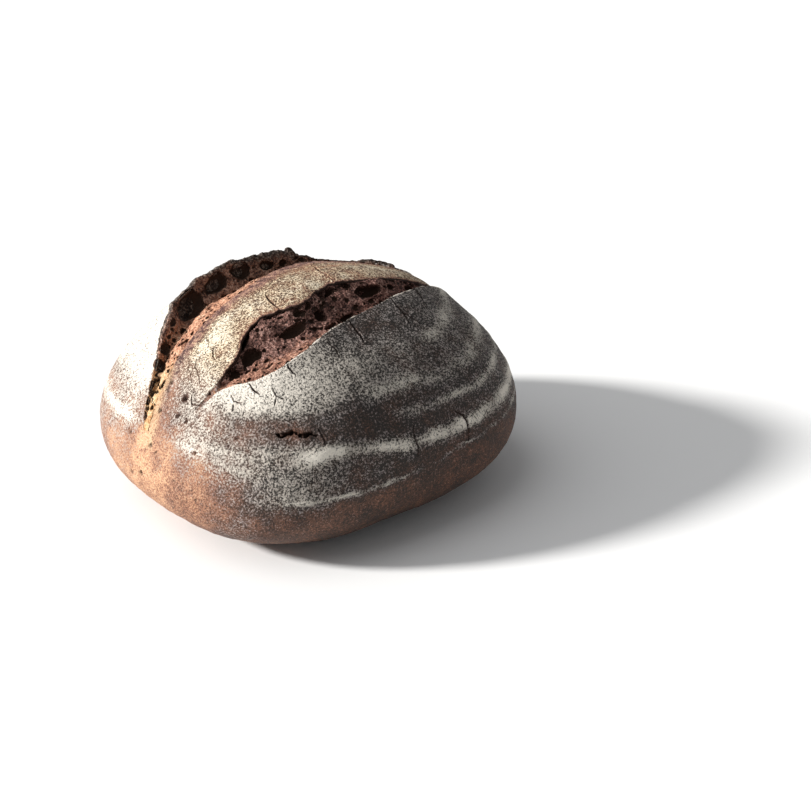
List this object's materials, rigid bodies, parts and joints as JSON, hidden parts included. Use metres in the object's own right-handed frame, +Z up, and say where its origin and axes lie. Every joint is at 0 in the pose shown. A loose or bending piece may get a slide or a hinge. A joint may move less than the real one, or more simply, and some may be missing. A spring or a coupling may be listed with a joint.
{
  "type": "rye bread loaf",
  "caption": "Round rustic rye loaf with a dark flour-dusted crust, lengthwise slashes that tore open over bubbly crumb, and a raised ragged ear",
  "frame": {"origin": "middle of the bottom of the bounding box, on the surface the loaf stands on", "axes": "+X along the slashes, towards the fuller end; +Y to the back, where the ear stands; +Z up"},
  "size_m": [0.2452, 0.2196, 0.1266],
  "materials": {
    "crust": "matte baked rye crust dusted with flour"
  },
  "bodies": {
    "root": {"loaf": "crust"}
  },
  "joints": []
}
